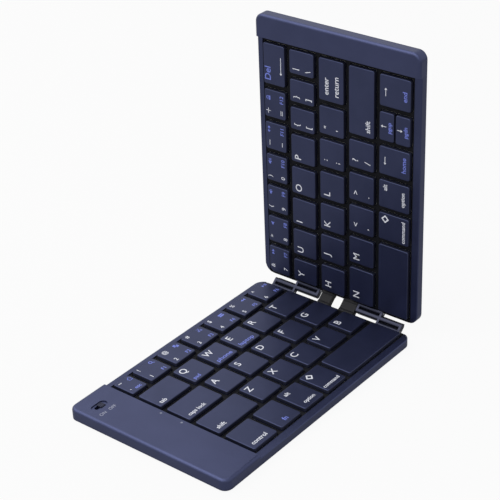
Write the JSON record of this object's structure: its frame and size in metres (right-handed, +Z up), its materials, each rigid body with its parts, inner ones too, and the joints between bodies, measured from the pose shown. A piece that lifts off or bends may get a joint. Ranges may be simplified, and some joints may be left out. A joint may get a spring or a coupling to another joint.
{
  "type": "folding keyboard",
  "caption": "Slim compact keyboard that folds shut like a book on two double-axis hinges, shown half open with its right half upright.",
  "frame": {"origin": "on the desk, under the centre of the part's bounding box as shown", "axes": "+Z up from the desk; +X from the left half's outer end to the fold, the upright right half's keys face -X; +Y from the typist's side to the number row"},
  "size_m": [0.1608, 0.099, 0.1599],
  "materials": {
    "case_shell": "fine dark blue-grey texture",
    "case_cover": "fine dark blue-grey texture",
    "keycap_plastic": "satin dark blue-grey with printed legends",
    "plate_steel": "plain sheet",
    "membrane_film": "clear printed film",
    "dome_rubber": "translucent silicone",
    "scissor_plastic": "moulded, plain",
    "foot_rubber": "matt black",
    "screw_steel": "plain",
    "hinge_metal": "dark satin",
    "pin_steel": "plain",
    "hinge_cover_plastic": "dark satin",
    "cable_film": "amber film",
    "battery_pouch": "foil pouch",
    "board_laminate": "green laminate",
    "slider_plastic": "black, ribbed",
    "lens_plastic": "milky"
  },
  "bodies": {
    "left_half": {"left_bottom_cover": "case_cover", "left_top_case": "case_shell", "left_end_cap": "case_shell", "left_support_plate": "plate_steel", "left_membrane": "membrane_film", "left_domes": "dome_rubber", "left_scissors": "scissor_plastic", "left_feet": "foot_rubber", "left_screws": "screw_steel", "left_hinge_brackets": "hinge_metal", "battery": "battery_pouch", "control_board": "board_laminate", "charge_socket": "screw_steel", "switch_body": "screw_steel", "indicator_lenses": "lens_plastic"},
    "hinge_link": {"rear_link": "hinge_metal", "front_link": "hinge_metal", "hinge_pins": "pin_steel", "hinge_covers": "hinge_cover_plastic", "ribbon_cable": "cable_film"},
    "right_half": {"right_bottom_cover": "case_cover", "right_top_case": "case_shell", "right_end_cap": "case_shell", "right_support_plate": "plate_steel", "right_membrane": "membrane_film", "right_domes": "dome_rubber", "right_scissors": "scissor_plastic", "right_feet": "foot_rubber", "right_screws": "screw_steel", "right_hinge_brackets": "hinge_metal"},
    "power_slider": {"power_slider": "slider_plastic"},
    "key_esc": {"key_esc": "keycap_plastic"},
    "keys_1_to_6": {"keys_1_to_6": "keycap_plastic"},
    "key_tab": {"key_tab": "keycap_plastic"},
    "keys_q_to_t": {"keys_q_to_t": "keycap_plastic"},
    "key_caps_lock": {"key_caps_lock": "keycap_plastic"},
    "keys_a_to_g": {"keys_a_to_g": "keycap_plastic"},
    "key_left_shift": {"key_left_shift": "keycap_plastic"},
    "keys_z_to_b": {"keys_z_to_b": "keycap_plastic"},
    "key_control": {"key_control": "keycap_plastic"},
    "key_fn": {"key_fn": "keycap_plastic"},
    "key_left_option": {"key_left_option": "keycap_plastic"},
    "key_left_command": {"key_left_command": "keycap_plastic"},
    "key_left_space": {"key_left_space": "keycap_plastic"},
    "keys_7_to_equals": {"keys_7_to_equals": "keycap_plastic"},
    "key_delete": {"key_delete": "keycap_plastic"},
    "keys_y_to_p": {"keys_y_to_p": "keycap_plastic"},
    "keys_square_brackets": {"keys_square_brackets": "keycap_plastic"},
    "key_backslash": {"key_backslash": "keycap_plastic"},
    "keys_h_to_quote": {"keys_h_to_quote": "keycap_plastic"},
    "key_enter": {"key_enter": "keycap_plastic"},
    "keys_n_to_slash": {"keys_n_to_slash": "keycap_plastic"},
    "key_right_shift": {"key_right_shift": "keycap_plastic"},
    "key_right_space": {"key_right_space": "keycap_plastic"},
    "key_right_command": {"key_right_command": "keycap_plastic"},
    "key_right_option": {"key_right_option": "keycap_plastic"},
    "key_arrow_left": {"key_arrow_left": "keycap_plastic"},
    "key_arrow_up": {"key_arrow_up": "keycap_plastic"},
    "key_arrow_down": {"key_arrow_down": "keycap_plastic"},
    "key_arrow_right": {"key_arrow_right": "keycap_plastic"}
  },
  "joints": [
    {"name": "fold_left", "type": "hinge", "parent": "left_half", "child": "hinge_link", "pos_m": [0.07152, 0, 0.0038], "axis": [0, -1, 0], "range_deg": [-40, 50]},
    {"name": "fold_right", "type": "hinge", "parent": "hinge_link", "child": "right_half", "pos_m": [0.07658, 0, 0.00804], "axis": [0, -1, 0], "range_deg": [-50, 40]},
    {"name": "power_slide", "type": "slide", "parent": "left_half", "child": "power_slider", "axis": [-1, 0, 0], "range_m": [0, 0.0025]},
    {"name": "key_press_esc", "type": "slide", "parent": "left_half", "child": "key_esc", "axis": [0, 0, -1], "range_m": [0, 0.0014], "stiffness_N_per_m": 400, "springref_m": -0.0008},
    {"name": "keys_press_1_to_6", "type": "slide", "parent": "left_half", "child": "keys_1_to_6", "axis": [0, 0, -1], "range_m": [0, 0.0014], "stiffness_N_per_m": 400, "springref_m": -0.0008},
    {"name": "key_press_tab", "type": "slide", "parent": "left_half", "child": "key_tab", "axis": [0, 0, -1], "range_m": [0, 0.0014], "stiffness_N_per_m": 400, "springref_m": -0.0008},
    {"name": "keys_press_q_to_t", "type": "slide", "parent": "left_half", "child": "keys_q_to_t", "axis": [0, 0, -1], "range_m": [0, 0.0014], "stiffness_N_per_m": 400, "springref_m": -0.0008},
    {"name": "key_press_caps_lock", "type": "slide", "parent": "left_half", "child": "key_caps_lock", "axis": [0, 0, -1], "range_m": [0, 0.0014], "stiffness_N_per_m": 400, "springref_m": -0.0008},
    {"name": "keys_press_a_to_g", "type": "slide", "parent": "left_half", "child": "keys_a_to_g", "axis": [0, 0, -1], "range_m": [0, 0.0014], "stiffness_N_per_m": 400, "springref_m": -0.0008},
    {"name": "key_press_left_shift", "type": "slide", "parent": "left_half", "child": "key_left_shift", "axis": [0, 0, -1], "range_m": [0, 0.0014], "stiffness_N_per_m": 400, "springref_m": -0.0008},
    {"name": "keys_press_z_to_b", "type": "slide", "parent": "left_half", "child": "keys_z_to_b", "axis": [0, 0, -1], "range_m": [0, 0.0014], "stiffness_N_per_m": 400, "springref_m": -0.0008},
    {"name": "key_press_control", "type": "slide", "parent": "left_half", "child": "key_control", "axis": [0, 0, -1], "range_m": [0, 0.0014], "stiffness_N_per_m": 400, "springref_m": -0.0008},
    {"name": "key_press_fn", "type": "slide", "parent": "left_half", "child": "key_fn", "axis": [0, 0, -1], "range_m": [0, 0.0014], "stiffness_N_per_m": 400, "springref_m": -0.0008},
    {"name": "key_press_left_option", "type": "slide", "parent": "left_half", "child": "key_left_option", "axis": [0, 0, -1], "range_m": [0, 0.0014], "stiffness_N_per_m": 400, "springref_m": -0.0008},
    {"name": "key_press_left_command", "type": "slide", "parent": "left_half", "child": "key_left_command", "axis": [0, 0, -1], "range_m": [0, 0.0014], "stiffness_N_per_m": 400, "springref_m": -0.0008},
    {"name": "key_press_left_space", "type": "slide", "parent": "left_half", "child": "key_left_space", "axis": [0, 0, -1], "range_m": [0, 0.0014], "stiffness_N_per_m": 400, "springref_m": -0.0008},
    {"name": "keys_press_7_to_equals", "type": "slide", "parent": "right_half", "child": "keys_7_to_equals", "axis": [1, 0, 0], "range_m": [0, 0.0014], "stiffness_N_per_m": 400, "springref_m": -0.0008},
    {"name": "key_press_delete", "type": "slide", "parent": "right_half", "child": "key_delete", "axis": [1, 0, 0], "range_m": [0, 0.0014], "stiffness_N_per_m": 400, "springref_m": -0.0008},
    {"name": "keys_press_y_to_p", "type": "slide", "parent": "right_half", "child": "keys_y_to_p", "axis": [1, 0, 0], "range_m": [0, 0.0014], "stiffness_N_per_m": 400, "springref_m": -0.0008},
    {"name": "keys_press_square_brackets", "type": "slide", "parent": "right_half", "child": "keys_square_brackets", "axis": [1, 0, 0], "range_m": [0, 0.0014], "stiffness_N_per_m": 400, "springref_m": -0.0008},
    {"name": "key_press_backslash", "type": "slide", "parent": "right_half", "child": "key_backslash", "axis": [1, 0, 0], "range_m": [0, 0.0014], "stiffness_N_per_m": 400, "springref_m": -0.0008},
    {"name": "keys_press_h_to_quote", "type": "slide", "parent": "right_half", "child": "keys_h_to_quote", "axis": [1, 0, 0], "range_m": [0, 0.0014], "stiffness_N_per_m": 400, "springref_m": -0.0008},
    {"name": "key_press_enter", "type": "slide", "parent": "right_half", "child": "key_enter", "axis": [1, 0, 0], "range_m": [0, 0.0014], "stiffness_N_per_m": 400, "springref_m": -0.0008},
    {"name": "keys_press_n_to_slash", "type": "slide", "parent": "right_half", "child": "keys_n_to_slash", "axis": [1, 0, 0], "range_m": [0, 0.0014], "stiffness_N_per_m": 400, "springref_m": -0.0008},
    {"name": "key_press_right_shift", "type": "slide", "parent": "right_half", "child": "key_right_shift", "axis": [1, 0, 0], "range_m": [0, 0.0014], "stiffness_N_per_m": 400, "springref_m": -0.0008},
    {"name": "key_press_right_space", "type": "slide", "parent": "right_half", "child": "key_right_space", "axis": [1, 0, 0], "range_m": [0, 0.0014], "stiffness_N_per_m": 400, "springref_m": -0.0008},
    {"name": "key_press_right_command", "type": "slide", "parent": "right_half", "child": "key_right_command", "axis": [1, 0, 0], "range_m": [0, 0.0014], "stiffness_N_per_m": 400, "springref_m": -0.0008},
    {"name": "key_press_right_option", "type": "slide", "parent": "right_half", "child": "key_right_option", "axis": [1, 0, 0], "range_m": [0, 0.0014], "stiffness_N_per_m": 400, "springref_m": -0.0008},
    {"name": "key_press_arrow_left", "type": "slide", "parent": "right_half", "child": "key_arrow_left", "axis": [1, 0, 0], "range_m": [0, 0.0014], "stiffness_N_per_m": 400, "springref_m": -0.0008},
    {"name": "key_press_arrow_up", "type": "slide", "parent": "right_half", "child": "key_arrow_up", "axis": [1, 0, 0], "range_m": [0, 0.0014], "stiffness_N_per_m": 400, "springref_m": -0.0008},
    {"name": "key_press_arrow_down", "type": "slide", "parent": "right_half", "child": "key_arrow_down", "axis": [1, 0, 0], "range_m": [0, 0.0014], "stiffness_N_per_m": 400, "springref_m": -0.0008},
    {"name": "key_press_arrow_right", "type": "slide", "parent": "right_half", "child": "key_arrow_right", "axis": [1, 0, 0], "range_m": [0, 0.0014], "stiffness_N_per_m": 400, "springref_m": -0.0008}
  ]
}
